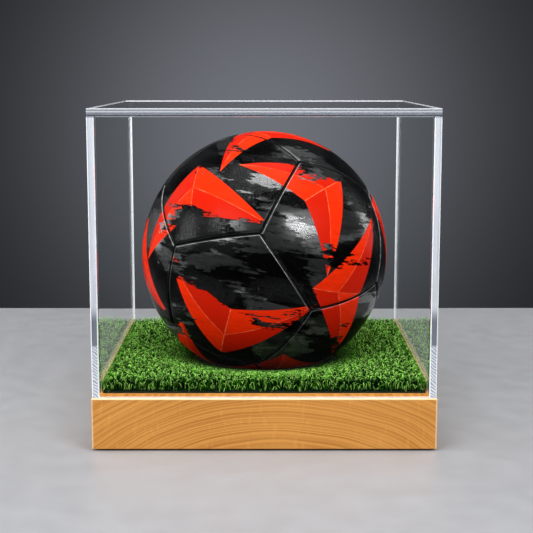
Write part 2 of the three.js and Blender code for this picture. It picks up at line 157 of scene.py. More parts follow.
def put(value, socket):
    """Links another node's output to the socket, or writes a plain value into it."""
    if isinstance(value, bpy.types.NodeSocket):
        link(value, socket)
    else:
        socket.default_value = value


def add_node(kind, feeds=None, **settings):
    node = Editor.tree.nodes.new("ShaderNode" + kind)
    for setting, value in settings.items():
        setattr(node, setting, value)
    for socket, value in (feeds or {}).items():
        put(value, node.inputs[socket])
    return node


def calculate(operation, *values):
    return add_node("Math", dict(enumerate(values)), operation=operation).outputs[0]


def multiply(first, second):
    return calculate("MULTIPLY", first, second)


def multiply_add(first, second, third):
    return calculate("MULTIPLY_ADD", first, second, third)


def vector_math(operation, *values):
    node = add_node("VectorMath", dict(enumerate(values)), operation=operation)
    return node.outputs["Value" if operation in ("DOT_PRODUCT", "LENGTH") else "Vector"]


def remap(value, low, high, to_low=0.0, to_high=1.0):
    feeds = {"Value": value, "From Min": low, "From Max": high, "To Min": to_low, "To Max": to_high}
    return add_node("MapRange", feeds, interpolation_type="SMOOTHSTEP").outputs["Result"]


def blend_colour(factor, first, second, kind="MIX"):
    node = add_node("Mix", data_type="RGBA", blend_type=kind)
    put(factor, node.inputs[0])
    for socket, colour in ((6, first), (7, second)):
        put((*colour, 1) if isinstance(colour, tuple) else colour, node.inputs[socket])
    return node.outputs[2]


def noise(vector, scale, detail=2.0, roughness=0.5, distortion=0.0):
    feeds = {"Vector": vector, "Scale": scale, "Detail": detail, "Roughness": roughness,
             "Distortion": distortion}
    return add_node("TexNoise", feeds).outputs["Fac"]


def stretched(vector, scale=(1, 1, 1), turn=(0, 0, 0), place=(0, 0, 0)):
    feeds = {"Vector": vector, "Scale": scale, "Rotation": turn, "Location": place}
    return add_node("Mapping", feeds).outputs["Vector"]


def bump(height, distance, strength=1.0):
    return add_node("Bump", {"Height": height, "Distance": distance, "Strength": strength}).outputs["Normal"]


def place_of():
    return add_node("TexCoord").outputs["Object"]


def height_of(vector):
    return add_node("SeparateXYZ", {0: vector}).outputs["Z"]


def attribute(name):
    return add_node("Attribute", attribute_name=name).outputs["Fac"]


def new_material(name, **constants):
    material = bpy.data.materials.new(name)
    material.use_nodes = True
    Editor.tree = material.node_tree
    shader = Editor.tree.nodes["Principled BSDF"]
    for socket, value in constants.items():
        shader.inputs[socket.replace("_", " ")].default_value = value
    return material, shader


def feed(shader, **sources):
    for socket, source in sources.items():
        link(source, shader.inputs[socket.replace("_", " ")])


def new_group(name, inputs, outputs):
    Editor.tree = group = bpy.data.node_groups.new(name, "ShaderNodeTree")
    for label, kind, value in inputs:
        socket = group.interface.new_socket(label, in_out="INPUT", socket_type="NodeSocket" + kind)
        if value is not None:
            socket.default_value = value
    for label in outputs:
        group.interface.new_socket(label, in_out="OUTPUT", socket_type="NodeSocketFloat")
    return group, group.nodes.new("NodeGroupInput").outputs, group.nodes.new("NodeGroupOutput").inputs


def use_group(group, **feeds):
    named = {label.replace("_", " "): value for label, value in feeds.items()}
    return add_node("Group", named, node_tree=group).outputs


def dress(material, *nodes):
    for name in nodes:
        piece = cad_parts[name] if isinstance(name, str) else name
        if not piece.material_slots:
            piece.data.materials.append(material)
        for slot in piece.material_slots:
            slot.material = material


print("helpers ready")

# %% [markdown]
# ## Camera, table and soft light
# The camera stands a little over a metre from the middle of the case, just above the height of its top, and
# looks down by nine degrees. A long lens keeps the upright edges almost parallel. The case stands on a pale
# table, with a plain grey wall of light behind it, so that the edges of the clear sheets stand out. Wide
# lamps above and beside it give soft light without hard shadows.

# %% Camera
lens_mm = 84.38
camera_data = bpy.data.cameras.new("case_camera")
camera_data.sensor_width = 36
camera_data.lens = lens_mm
camera = new_object("case_camera", camera_data)
camera.location = (0.0006, -1.1207, 0.3036)
camera.rotation_euler = (math.radians(90 - 8.8), 0, math.radians(-0.067))
bpy.context.scene.camera = camera
bpy.context.scene.view_settings.view_transform = "Standard"
print("camera at", tuple(camera.location), "lens", lens_mm)

# %% Table
table_half = 0.487
table_thickness = 20 * MM
clear_selection()
bpy.ops.mesh.primitive_cube_add(size=1, location=(0, 0, -table_thickness / 2),
                                scale=(2 * table_half, 2 * table_half, table_thickness))
table = bpy.context.object
settle(table, "studio_table")
apply_modifier(table, "BEVEL", width=2 * MM, segments=3)

table_paint, shader = new_material("table_paint", Roughness=0.42)
mottle = noise(place_of(), 40, 4)
feed(shader, Base_Color=blend_colour(mottle, (0.30, 0.30, 0.31), (0.34, 0.34, 0.35)),
     Roughness=remap(mottle, 0.2, 0.8, 0.36, 0.5))
dress(table_paint, table)
print("table", table.name)

# %% Lamps
lamps = {
    "top_softbox": ((0, -0.25, 1.45), (0, 0, 0.12), 1.3, 1.0, 18),
    "front_left_softbox": ((-1.05, -1.30, 1.25), (0, 0, 0.12), 1.0, 0.7, 20),
    "front_right_softbox": ((1.05, -1.30, 1.20), (0, 0, 0.12), 1.0, 0.7, 19),
    "left_softbox": ((-1.45, -0.32, 0.60), (0, 0, 0.14), 0.5, 0.6, 7),
    "left_strip": ((-1.1, 0.5, 0.6), (0, 0, 0.15), 0.25, 1.0, 2.2),
    "right_strip": ((1.1, 0.5, 0.6), (0, 0, 0.15), 0.25, 1.0, 2.2),
}
for name, (place, aim, width, height, power) in lamps.items():
    lamp_data = bpy.data.lights.new(name, "AREA")
    lamp_data.shape = "RECTANGLE"
    lamp_data.size = width
    lamp_data.size_y = height
    lamp_data.energy = power
    lamp = new_object(name, lamp_data)
    lamp.location = place
    lamp.rotation_euler = (Vector(aim) - Vector(place)).to_track_quat("-Z", "Y").to_euler()
print("lamps:", len(lamps))

# %% Background
world = bpy.data.worlds.new("grey_room")
bpy.context.scene.world = world
world.use_nodes = True
Editor.tree = world.node_tree
Editor.tree.nodes.clear()
direction = add_node("TexCoord").outputs["Generated"]
towards_glow = vector_math("DOT_PRODUCT", direction, (0, 0.999, -0.045))
away = calculate("SUBTRACT", towards_glow, 1.0)
glow = calculate("EXPONENT", calculate("DIVIDE", away, 0.012))
elsewhere = remap(towards_glow, 0.94, 0.80, 0.0, 0.40)
wall = blend_colour(calculate("MAXIMUM", glow, elsewhere), (0.012, 0.013, 0.015), (0.158, 0.167, 0.188))
path = add_node("LightPath").outputs
seen = calculate("MAXIMUM", path["Is Camera Ray"],
                 calculate("MAXIMUM", path["Is Glossy Ray"], path["Is Transmission Ray"]))
colour = blend_colour(seen, (0.30, 0.31, 0.33), wall)
background = add_node("Background", {"Color": colour, "Strength": 1.0})
add_node("OutputWorld", {"Surface": background.outputs[0]})
print("world", world.name)

# %% [markdown]
# ## Growth rings
# The plinth is sawn from honey-coloured wood. Its front shows wide arcs that rise from the left, run level
# in the middle and fall to the right, because the board cuts across the year rings of a thick trunk. A
# picture of wood would stretch at the corners. Rings measured from a far axis run through the whole block,
# so the face and the top edge match, and one node group can serve every wooden piece with its own axis.

# %% Group for year rings
def line_noise(value, scale, detail):
    """Noise along one number, here the count of rings from the axis."""
    feeds = {"W": value, "Scale": scale, "Detail": detail}
    return add_node("TexNoise", feeds, noise_dimensions="1D").outputs["Fac"]


ring_group, source, sink = new_group(
    "growth_rings", [("Vector", "Vector", None), ("Ring Width", "Float", 3.0 * MM)],
    ["Band", "Line", "Fleck"])
wander = add_node("TexNoise", {"Vector": stretched(source["Vector"], (7, 7, 16)), "Scale": 1.0,
                               "Detail": 2.0}).outputs["Color"]
drift = vector_math("SUBTRACT", wander, (0.5, 0.5, 0.5))
swayed = vector_math("ADD", source["Vector"], vector_math("MULTIPLY", drift, (0.010, 0.0, 0.014)))
flat = vector_math("MULTIPLY", swayed, (1.0, 0.10, 1.0))
radius = vector_math("LENGTH", flat)
count = calculate("DIVIDE", radius, source["Ring Width"])
uneven = line_noise(count, 0.31, 1.0)
ring = calculate("FRACT", multiply_add(uneven, 1.8, count))
late = calculate("POWER", ring, 2.4)
edge = remap(ring, 0.93, 1.0, 1.0, 0.0)
line = multiply(late, edge)
broad = line_noise(count, 0.55, 2.0)
fine = line_noise(count, 2.0, 2.0)
speckle = noise(stretched(source["Vector"], (420, 420, 900)), 1.0, 3)
band = multiply_add(remap(fine, 0.35, 0.65), 0.65, remap(broad, 0.32, 0.68, 0, 0.40))
link(multiply_add(speckle, 0.3, multiply(band, 0.62)), sink["Band"])
link(line, sink["Line"])
ray = noise(stretched(swayed, (260, 90, 55)), 1.0, 2)
link(remap(ray, 0.60, 0.74), sink["Fleck"])
print("group", ring_group.name)

# %% [markdown]
# ## Wood
# The four rails are cut from the same board, so they share one recipe. Each has its own turn and its own
# place of the trunk's axis, which lies far below the front rail and a little to the right. The year lines
# are darker and slightly harder, so they stand out by a few hundredths of a millimetre and shine a little
# more under the satin oil.

# %% Wood for the rails, the deck and the hidden parts
def painted_edge_highlight():
    """Painted highlight: paler colour along the rail's top edge and the case's four upright corners."""
    outer = abs(rail_high.x)
    x, y, z = add_node("SeparateXYZ", {0: place_of()}).outputs
    corner = calculate("MINIMUM", calculate("ABSOLUTE", x), calculate("ABSOLUTE", y))
    return calculate("MAXIMUM", remap(z, rail_high.z - 1.1 * MM, rail_high.z - 0.4 * MM, 0, 0.8),
                     remap(corner, outer - 1.4 * MM, outer - 0.5 * MM, 0, 0.6))


def wood(name, turn, axis, light, dark, ring_width=3.0 * MM, tilt=0.0, with_edge_highlight=False):
    material, shader = new_material(name, Specular_IOR_Level=0.35)
    turned = stretched(place_of(), turn=(tilt, 0, math.radians(turn)))
    grain = use_group(ring_group, Vector=vector_math("SUBTRACT", turned, axis), Ring_Width=ring_width)
    warm = blend_colour(grain["Band"], light, dark)
    lined = blend_colour(multiply(grain["Line"], 0.55), warm, tuple(0.7 * c for c in dark))
    flecked = blend_colour(multiply(grain["Fleck"], 0.22), lined, tuple(1.1 * c for c in light))
    patch = noise(turned, 14, 2)
    colour = blend_colour(remap(patch, 0.3, 0.7, 0, 0.25), flecked, light)
    # Painted highlight: the top edge and the upright corners are painted in paler wood colour.
    if with_edge_highlight:
        colour = blend_colour(painted_edge_highlight(), colour, (0.95, 0.70, 0.42))
    feed(shader, Base_Color=colour,
         Roughness=remap(grain["Band"], 0, 1, 0.52, 0.41),
         Normal=bump(grain["Line"], 0.03 * MM, 0.6))
    return material


honey_light = (0.72, 0.340, 0.072)
honey_dark = (0.40, 0.135, 0.014)
rail_turns = {"front": 0, "right": -90, "back": 180, "left": 90}
rail_axes = {"front": (0.012, 0, -0.20), "right": (-0.03, 0, -0.24), "back": (0.05, 0, -0.22),
             "left": (-0.02, 0, -0.26)}
for side in sides:
    material = wood(f"honey_wood_{side}", rail_turns[side], rail_axes[side], honey_light, honey_dark,
                    with_edge_highlight=True)
    dress(material, f"base_rail_{side}")
dress(wood("deck_wood", 0, (0.02, 0, -0.35), honey_light, honey_dark, 3.1 * MM, tilt=math.radians(80)),
      "base_deck")
dress(wood("plywood", 90, (0, 0, -1.2), (0.52, 0.36, 0.19), (0.40, 0.25, 0.12), 1.1 * MM), "bottom_panel")
dress(wood("block_wood", 35, (0.03, 0, -0.08), (0.50, 0.33, 0.16), (0.36, 0.20, 0.08), 2.4 * MM),
      *[f"corner_block_{number}" for number in range(1, 5)])
print("wooden materials:", sum(m.node_tree is not None and "wood" in m.name for m in bpy.data.materials))

# %% [markdown]
# ## Marks of handling
# Nothing that has been touched is perfectly even. Steel, rubber and the clear sheets all carry a little
# dust and faint smudges. One group makes both masks from noise, and each material decides how strongly it
# shows them.

# %% Group for handling marks
mark_group, source, sink = new_group("handling_marks", [("Vector", "Vector", None), ("Size", "Float", 1.0)],
                                     ["Smudge", "Dust"])
scaled = vector_math("SCALE", source["Vector"])
link(source["Size"], scaled.node.inputs["Scale"])
cloud = noise(scaled, 22, 4, 0.6)
link(remap(cloud, 0.52, 0.75), sink["Smudge"])
speck = noise(scaled, 900, 1)
link(remap(speck, 0.76, 0.82), sink["Dust"])
print("group", mark_group.name)

# %% [markdown]
# ## Small fittings
# The plinth hides four screws and stands on four thin pads, and a felt ring keeps the ball from rolling.
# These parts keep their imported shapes. A plain colour would look like plastic, so the steel gets turning
# marks, the rubber a fine pitted skin and the felt a tangle of fibres.

# %% Steel, rubber, felt and the backing of the grass
steel, shader = new_material("screw_steel", Metallic=1.0)
marks = use_group(mark_group, Vector=place_of(), Size=3.0)
turning = noise(stretched(place_of(), (60, 60, 6000)), 1.0, 1)
feed(shader, Base_Color=blend_colour(marks["Smudge"], (0.62, 0.61, 0.59), (0.48, 0.46, 0.43)),
     Roughness=remap(turning, 0.3, 0.7, 0.26, 0.42), Normal=bump(turning, 0.02 * MM, 0.4))
dress(steel, *[f"bottom_screw_{number}" for number in range(1, 5)])

rubber, shader = new_material("foot_rubber", Specular_IOR_Level=0.4)
pits = noise(place_of(), 2600, 2)
marks = use_group(mark_group, Vector=place_of(), Size=2.0)
feed(shader, Base_Color=blend_colour(marks["Smudge"], (0.016, 0.016, 0.017), (0.045, 0.043, 0.04)),
     Roughness=remap(pits, 0.3, 0.7, 0.72, 0.88), Normal=bump(pits, 0.03 * MM, 0.5))
dress(rubber, *[f"foot_{number}" for number in range(1, 5)])

felt, shader = new_material("seat_felt", Specular_IOR_Level=0.05)
fibres = noise(stretched(place_of(), (900, 1900, 900), turn=(0, 0, 0.6)), 1.0, 4, 0.7, 1.5)
feed(shader, Base_Color=blend_colour(fibres, (0.002, 0.003, 0.002), (0.012, 0.015, 0.010)),
     Roughness=remap(fibres, 0.2, 0.8, 0.86, 0.98), Normal=bump(fibres, 0.15 * MM, 0.7))
dress(felt, "ball_seat_ring")

backing, shader = new_material("turf_backing", Specular_IOR_Level=0.2)
place = place_of()
warp_thread = add_node("TexWave", {"Vector": place, "Scale": 320.0, "Distortion": 0.4},
                       bands_direction="X").outputs["Fac"]
weft_thread = add_node("TexWave", {"Vector": place, "Scale": 320.0, "Distortion": 0.4},
                       bands_direction="Y").outputs["Fac"]
weave = multiply(warp_thread, weft_thread)
feed(shader, Base_Color=blend_colour(weave, (0.003, 0.004, 0.003), (0.014, 0.018, 0.011)),
     Roughness=remap(weave, 0, 1, 0.95, 0.82), Normal=bump(weave, 0.2 * MM, 0.6))
dress(backing, "turf_backing")
print("fittings dressed")

# %% [markdown]
# ## Artificial grass
# The mat is a dense pile of short plastic blades, each about a millimetre wide and curled by heat, with
# near black gaps between them. Hair particles look right in a render but leave no mesh behind. Here a few
# blades are modelled, each extruded from a small triangle that turns and narrows at each step, and
# thousands of copies are laid out with random turns and heights. The mat is made in four quarters that meet
# on the diagonals, as packed.

# %% Model one curled blade
blade_levels = 5
blade_half_width = 0.41 * MM
blade_flatness = 0.40
level_lengths = (0.34, 0.24, 0.16, 0.14, 0.12)
level_turns = (0.04, 0.10, 0.26, 0.32, 0.28)


def model_blade(length, curl, sway, narrowing):
    """Extrude a triangle upwards, straight at first and then turning ever faster into a hook."""
    clear_selection()
    bpy.ops.mesh.primitive_circle_add(vertices=3, radius=blade_half_width, fill_type="NGON")
    blade = bpy.context.object
    edit(blade)
    bpy.ops.transform.resize(value=(1, blade_flatness, 1), center_override=(0, 0, 0))
    tip = Vector((0, 0, 0))
    heading = Vector((0, 0, 1))
    for level, (share, turn) in enumerate(zip(level_lengths, level_turns)):
        stride = heading * length * share
        bpy.ops.mesh.extrude_region_move(TRANSFORM_OT_translate={"value": tuple(stride)})
        tip = tip + stride
        bpy.ops.transform.rotate(value=-curl * turn, orient_axis="X", center_override=tip)
        width = narrowing if level < blade_levels - 1 else 0.35
        bpy.ops.transform.resize(value=(width, width, width), center_override=tip)
        bend = Matrix.Rotation(curl * turn, 3, "X") @ Matrix.Rotation(sway / blade_levels, 3, "Y")
        heading = bend @ heading
    bpy.ops.mesh.select_all(action="SELECT")
    bpy.ops.mesh.normals_make_consistent(inside=False)
    bpy.ops.mesh.quads_convert_to_tris()
    leave_edit()
    points = np.array([vertex.co for vertex in blade.data.vertices])
    triangles = np.array([face.vertices for face in blade.data.polygons])
    bpy.data.objects.remove(blade)
    return points, triangles


chance = np.random.default_rng(7)
blade_forms = []
for number in range(14):
    curl = math.radians(40 + 17 * number)
    form = model_blade((11 + 0.35 * number) * MM, curl, chance.uniform(-0.9, 0.9), 0.94)
    blade_forms.append(form)
heights = [round(float(points[:, 2].max()) * 1000, 1) for points, triangles in blade_forms]
print("blade heights in mm:", heights, "triangles each:", len(blade_forms[0][1]))

# %% [markdown]
# Where the ball presses on the mat the blades lie flat against it. Any point that would be inside the ball
# is pushed out to its skin, so the grass seems to hold the ball and never cuts into it. Along the cut edges
# of the mat the blades lean outwards and hang over. Each point also gets three numbers that the material
# reads: the blade's own tint, the place along the blade, and how much open light it has above it.

# %% Lay out the blades of the whole mat
mat_spacing = 1.65 * MM
fringe_spacing = 0.6 * MM
binding_spacing = 0.6 * MM
binding_width = 0.35
binding_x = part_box("base_deck")[1].x - 0.5 * MM
pressed_depth = 10.4 * MM
thatch_share = 0.14
dim_share = 0.18
press_gap = 0.7 * MM
shade_depth = 4.2 * MM
pressed_radius, pressed_width = 59 * MM, 58 * MM
shaded_radius, shaded_width = 64 * MM, 27 * MM
fringe_droop = 6.0
fringe_clearance = 1.1 * MM
root_z = mat_bottom + 0.4 * MM
# Each kind's share of the pile's height, its reach past the mat's edge in mm, and the step of its tint.
blade_kinds = {
    "pile": ((0.55, 1.0), (-1.2, 0), 0),
    "thatch": ((0.35, 0.68), (-1.2, 0), 2),
    "fringe": ((0.22, 1.0), (0, 1.3), 0),
    "binding": ((0.80, 0.84), (1.9, 2.0), 4),
}


def mat_places():
    steps = np.arange(-mat_half, mat_half, mat_spacing)
    x, y = (axis.ravel() for axis in np.meshgrid(steps, steps))
    x = x + chance.uniform(-0.5, 0.5, len(x)) * mat_spacing
    y = y + chance.uniform(-0.5, 0.5, len(y)) * mat_spacing
    inside = (np.hypot(x, y) > hole_radius + 0.8 * MM) & (np.maximum(abs(x), abs(y)) < mat_half - 3.0 * MM)
    return x[inside], y[inside]


def fringe_places():
    """Roots in a narrow band along the four cut edges of the mat."""
    count = int(2 * mat_half / fringe_spacing)
    along_edge = chance.uniform(-1, 1, (4, count)) * (mat_half - 1.0 * MM)
    inset = mat_half - chance.uniform(0.9, 3.6, (4, count)) * MM
    x = np.concatenate([along_edge[0], inset[1], along_edge[2], -inset[3]])
    y = np.concatenate([-inset[0], along_edge[1], inset[2], along_edge[3]])
    return x, y


def quarter_of(x, y):
    return np.where(abs(x) > abs(y), np.where(x > 0, 1, 3), np.where(y > 0, 2, 0))


def binding_places():
    """Pale binding yarn that stands along the left and right edges of the mat."""
    along_edge = np.arange(-mat_half + 3.0 * MM, mat_half - 1.0 * MM, binding_spacing)
    x = np.full(len(along_edge), binding_x)
    return np.concatenate([x, -x]), np.concatenate([along_edge, along_edge])


def height_limit(from_middle):
    """The pile is pressed low around the ball and reaches its full height further out."""
    share = np.clip((from_middle - pressed_radius) / pressed_width, 0, 1)
    return mat_top - pressed_depth * (1 - share) ** 1.15


def plant(x, y, kind):
    """One copied blade for each root, as points, triangles, tints, levels and the share of open light."""
    count = len(x)
    (shortest, tallest), (least_reach, most_reach), tint_step = blade_kinds[kind]
    form = chance.integers(5 if kind == "fringe" else 0, len(blade_forms), count)
    spin = chance.uniform(0, 2 * math.pi, count)
    if kind == "fringe":
        over_side = abs(x) > abs(y)
        outward_x, outward_y = np.where(over_side, np.sign(x), 0), np.where(over_side, 0, np.sign(y))
        spin = np.arctan2(outward_x, -outward_y) + chance.uniform(-1.0, 1.0, count)
    if kind == "binding":
        spin = chance.integers(0, 2, count) * math.pi + chance.uniform(-0.3, 0.3, count)
    top = (height_limit(np.hypot(x, y)) - root_z) * chance.uniform(shortest, tallest, count)
    wide = chance.uniform(0.8, 1.25, count) * (binding_width if kind == "binding" else 1)
    tint = chance.uniform(0, 1, count) - tint_step
    limit = mat_half + chance.uniform(least_reach, most_reach, count) * MM
    droop = chance.uniform(0, fringe_droop, count)[:, None] * MM * (kind == "fringe")
    parts = []
    for number, (points, triangles) in enumerate(blade_forms):
        mine = np.flatnonzero(form == number)
        tall = points[:, 2].max()
        size = (top[mine] / tall)[:, None]
        across = wide[mine][:, None]
        local = points[None] * np.stack([across * np.ones_like(size), size, size], 2)
        cos, sin = np.cos(spin[mine])[:, None], np.sin(spin[mine])[:, None]
        px = x[mine][:, None] + cos * local[..., 0] - sin * local[..., 1]
        py = y[mine][:, None] + sin * local[..., 0] + cos * local[..., 1]
        edge = limit[mine][:, None]
        px, py = np.clip(px, -edge, edge), np.clip(py, -edge, edge)
        along = np.broadcast_to((np.arange(len(points)) // 3) / blade_levels, px.shape)
        over_edge = np.maximum(abs(px), abs(py)) > mat_half + 0.1 * MM
        lowest = np.where(over_edge, plateau_z + fringe_clearance, mat_bottom + 0.1 * MM)
        pz = np.maximum(root_z + local[..., 2] - droop[mine] * along ** 2, lowest)
        # Painted shade: the light share darkens blades deep in the pile and around the ball, and dims some at
        # random.
        open_top = height_limit(np.hypot(px, py))
        light = np.clip((pz - open_top + shade_depth) / (shade_depth - 0.6 * MM), 0, 1)
        dim = np.where(chance.uniform(0, 1, len(mine)) < dim_share, 0.3, 1.0)
        light = light * dim[:, None] * np.clip((np.hypot(px, py) - shaded_radius) / shaded_width, 0.06, 1)
        # Painted light: the fringe on the cut faces is brightened, and the yarn is kept pale above halfway.
        if kind == "fringe":
            side_light = chance.uniform(0.35, 0.85, len(mine))[:, None]
            light = np.maximum(light, (0.2 + 0.8 * along) * side_light)
        if kind == "binding":
            light = np.where(along > 0.5, 1.0, 0.35)
            pz = np.where(along == 0, plateau_z + 0.3 * MM, pz)
        parts.append((np.stack([px, py, pz], 2), triangles, tint[mine], along, light))
    return parts


def clear_of_ball(points):
    out = points - np.array(ball_centre)
    far = np.linalg.norm(out, axis=-1, keepdims=True)
    nearest = ball_radius + press_gap
    return np.array(ball_centre) + out * np.maximum(1, nearest / far)


pile_places, edge_places, yarn_places = mat_places(), fringe_places(), binding_places()
root_x, root_y = (np.concatenate(axis) for axis in zip(pile_places, edge_places, yarn_places))
root_kind = np.where(chance.uniform(0, 1, len(root_x)) < thatch_share, "thatch", "pile").astype("<U7")
root_kind[len(pile_places[0]):] = "fringe"
root_kind[-len(yarn_places[0]):] = "binding"
quarter = quarter_of(root_x, root_y)
print("blades:", len(root_x), "per quarter:", np.bincount(quarter))

# %% [markdown]
# ## Four quarters of the mat
# Each quarter starts as a thin slab that stands for the coated roots. It is a box the size of the mat, cut
# by two bisections along the diagonals and by a boolean for the ball's hole. The blades of that quarter are
# then joined to it in one mesh.

# %% Slab of one quarter
slab_thickness = 0.8 * MM
quarter_gap = 0.05 * MM


def quarter_slab(order):
    outward = Vector((0, -1, 0)) @ Matrix.Rotation(-order * math.pi / 2, 3, "Z")
    across = Vector((0, 0, 1)).cross(outward)
    clear_selection()
    size = 2 * (mat_half - 0.2 * MM)
    bpy.ops.mesh.primitive_cube_add(size=1, location=(0, 0, mat_bottom + slab_thickness / 2),
                                    scale=(size, size, slab_thickness))
    slab = bpy.context.object
    settle(slab, "slab")
    edit(slab)
    for normal in (outward + across, outward - across):
        normal.normalize()
        bpy.ops.mesh.select_all(action="SELECT")
        bpy.ops.mesh.bisect(plane_co=normal * quarter_gap, plane_no=normal, clear_inner=True, use_fill=True)
    leave_edit()
    bore(slab, 96, hole_radius, (0, 0, mat_bottom))
    apply_modifier(slab, "TRIANGULATE")
    return slab


def quarter_mesh(order, name):
    slab = quarter_slab(order)
    points = [np.array([vertex.co for vertex in slab.data.vertices])]
    triangles = [np.array([face.vertices for face in slab.data.polygons])]
    tint, along, light = ([np.zeros(len(points[0]))] for _ in range(3))
    start = len(points[0])
    for kind in ("pile", "thatch", "fringe", "binding"):
        mine = (quarter == order) & (root_kind == kind)
        if not mine.any():
            continue
        for place, faces, tints, levels, lights in plant(root_x[mine], root_y[mine], kind):
            blades, corners = place.shape[:2]
            points.append(clear_of_ball(place).reshape(-1, 3))
            first_corners = start + corners * np.arange(blades)[:, None, None]
            triangles.append((faces[None] + first_corners).reshape(-1, 3))
            tint.append(np.repeat(tints, corners))
            along.append(levels.ravel())
            light.append(lights.ravel())
            start += blades * corners
    bpy.data.objects.remove(slab)
    mesh = bpy.data.meshes.new(name)
    mesh.from_pydata(np.concatenate(points).tolist(), [], np.concatenate(triangles).tolist())
    for label, values in (("tint", tint), ("along", along), ("light", light)):
        kept = mesh.attributes.new(label, "FLOAT", "POINT")
        kept.data.foreach_set("value", np.concatenate(values).astype(np.float32))
    mesh.shade_smooth()
    return new_object(name, mesh)


grass_pieces = []
for order, side in enumerate(sides):
    piece = quarter_mesh(order, f"grass_{side}")
    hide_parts(f"turf_pile_{side}")
    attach(piece, "base")
    grass_pieces.append(piece)
print("grass triangles:", [faces_of(piece) for piece in grass_pieces])

# %% [markdown]
# The blades are dark at the root from painted shade, full green in the middle and painted pale at the tip,
# where light comes through the thin plastic. A share of the short ones is brown, as in real mats, to look
# like dry thatch. The tint of each blade moves its colour a little, so no two neighbours are the same.

# %% Blade plastic
grass, shader = new_material("blade_plastic", Specular_IOR_Level=0.02)
tint = attribute("tint")
along = attribute("along")
light = attribute("light")
is_thatch = calculate("COMPARE", tint, -1.5, 0.6)
shade = calculate("FRACT", calculate("ADD", tint, 4.0))
leaf = blend_colour(shade, (0.008, 0.140, 0.0005), (0.150, 0.860, 0.004))
tip_light = blend_colour(remap(along, 0.44, 0.80, 0, 0.95), leaf, (0.580, 1.0, 0.220))
straw = blend_colour(remap(shade, 0.80, 0.84), (0.020, 0.060, 0.006), (0.16, 0.085, 0.025))
streak = noise(stretched(place_of(), (1500, 1500, 300)), 1.0, 2)
open_colour = blend_colour(is_thatch, tip_light, straw)
is_yarn = multiply(calculate("LESS_THAN", tint, -2.5), remap(along, 0.50, 0.56))
with_yarn = blend_colour(is_yarn, open_colour, (0.85, 0.60, 0.32))
# Painted shade: the light share of each point darkens the blade colour towards near black.
colour = blend_colour(light, (0.0006, 0.0120, 0.0002), with_yarn)
feed(shader, Base_Color=blend_colour(streak, colour, (0.75, 0.85, 0.7), "MULTIPLY"),
     Roughness=remap(streak, 0.2, 0.8, 0.38, 0.6))
dress(grass, *grass_pieces)
print("grass dressed")

# %% [markdown]
# ## Ball panels
# The ball's skin is twelve equal five-sided panels, glued edge to edge over a round carcass. Each panel is
# slightly padded, so its surface drops into a narrow groove at the seam. One panel is cut from a fine round
# sphere by five bisections, one for each seam, and its rim is lowered by a smooth curve. Each of its twelve
# copies has its own mesh and is turned to where a packed panel lies.

# %% Directions of the twelve panels
def panel_direction(name):
    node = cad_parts[name]
    middle = sum((vertex.co for vertex in node.data.vertices), Vector()) / len(node.data.vertices)
    return (middle - ball_centre).normalized()


directions = {name: panel_direction(name) for name in ball_names}


def panel_turn(name):
    """Turns +Z to the panel's direction and +X towards one of its neighbours."""
    out = directions[name]
    others = (other for other in directions.values() if other != out)
    neighbour = max(others, key=lambda other: other.dot(out))
    across = (neighbour - out * neighbour.dot(out)).normalized()
    return Matrix((across, out.cross(across), out)).transposed()


neighbour_angle = math.atan(2)
print("panel 01 faces", tuple(round(v, 3) for v in directions["ball_panel_01"]))

# %% Cut and pad one panel
panel_thickness = 3.0 * MM
seam_half_gap = 0.22 * MM
groove_depth = 1.5 * MM
shoulder_width = 0.9 * MM
crown = 0.25 * MM


def seam_normals():
    for number in range(5):
        turn = number * 2 * math.pi / 5
        sine = math.sin(neighbour_angle)
        neighbour = Vector((sine * math.cos(turn), sine * math.sin(turn), math.cos(neighbour_angle)))
        yield (neighbour - Vector((0, 0, 1))).normalized()


def cut_panel():
    clear_selection()
    bpy.ops.mesh.primitive_ico_sphere_add(subdivisions=8, radius=ball_radius)
    panel = bpy.context.object
    edit(panel)
    bpy.ops.mesh.select_all(action="DESELECT")
    leave_edit()
    for vertex in panel.data.vertices:
        vertex.select = vertex.co.z < 0.5 * ball_radius
    bpy.ops.object.mode_set(mode="EDIT")
    bpy.ops.mesh.delete(type="VERT")
    for normal in seam_normals():
        bpy.ops.mesh.select_all(action="SELECT")
        bpy.ops.mesh.bisect(plane_co=-normal * seam_half_gap, plane_no=normal, clear_outer=True,
                            use_fill=False)
    bpy.ops.mesh.select_all(action="SELECT")
    bpy.ops.mesh.remove_doubles(threshold=0.05 * MM)
    leave_edit()
    return panel


def pad(panel):
    """Lowers the rim into the seam and notes how near each point is to it."""
    points = np.array([vertex.co for vertex in panel.data.vertices])
    to_seams = np.array([-(points @ np.array(normal)) for normal in seam_normals()]) - seam_half_gap
    near = np.maximum(to_seams.min(axis=0), 0)
    drop = groove_depth * np.exp(-(near / shoulder_width) ** 1.5) + crown * np.exp(-near / (12 * MM))
    points *= (1 - drop / ball_radius)[:, None]
    panel.data.vertices.foreach_set("co", points.ravel())
    seam = panel.data.attributes.new("seam", "FLOAT", "POINT")
    seam.data.foreach_set("value", np.exp(-near / (1.0 * MM)).astype(np.float32))
    rim = panel.data.attributes.new("rim", "INT", "POINT")
    rim.data.foreach_set("value", to_seams.argmin(axis=0).astype(np.int32))
    panel.data.update()


def light_rim(mesh, turn):
    """Notes which rims of a placed panel face upwards, because only those catch the light."""
    facing = np.array([(turn @ normal).z for normal in seam_normals()])
    rim = np.zeros(len(mesh.vertices), np.int32)
    mesh.attributes["rim"].data.foreach_get("value", rim)
    upper = mesh.attributes.new("upper_rim", "FLOAT", "POINT")
    upper.data.foreach_set("value", np.clip(0.25 + 2.5 * facing, 0.06, 1)[rim].astype(np.float32))


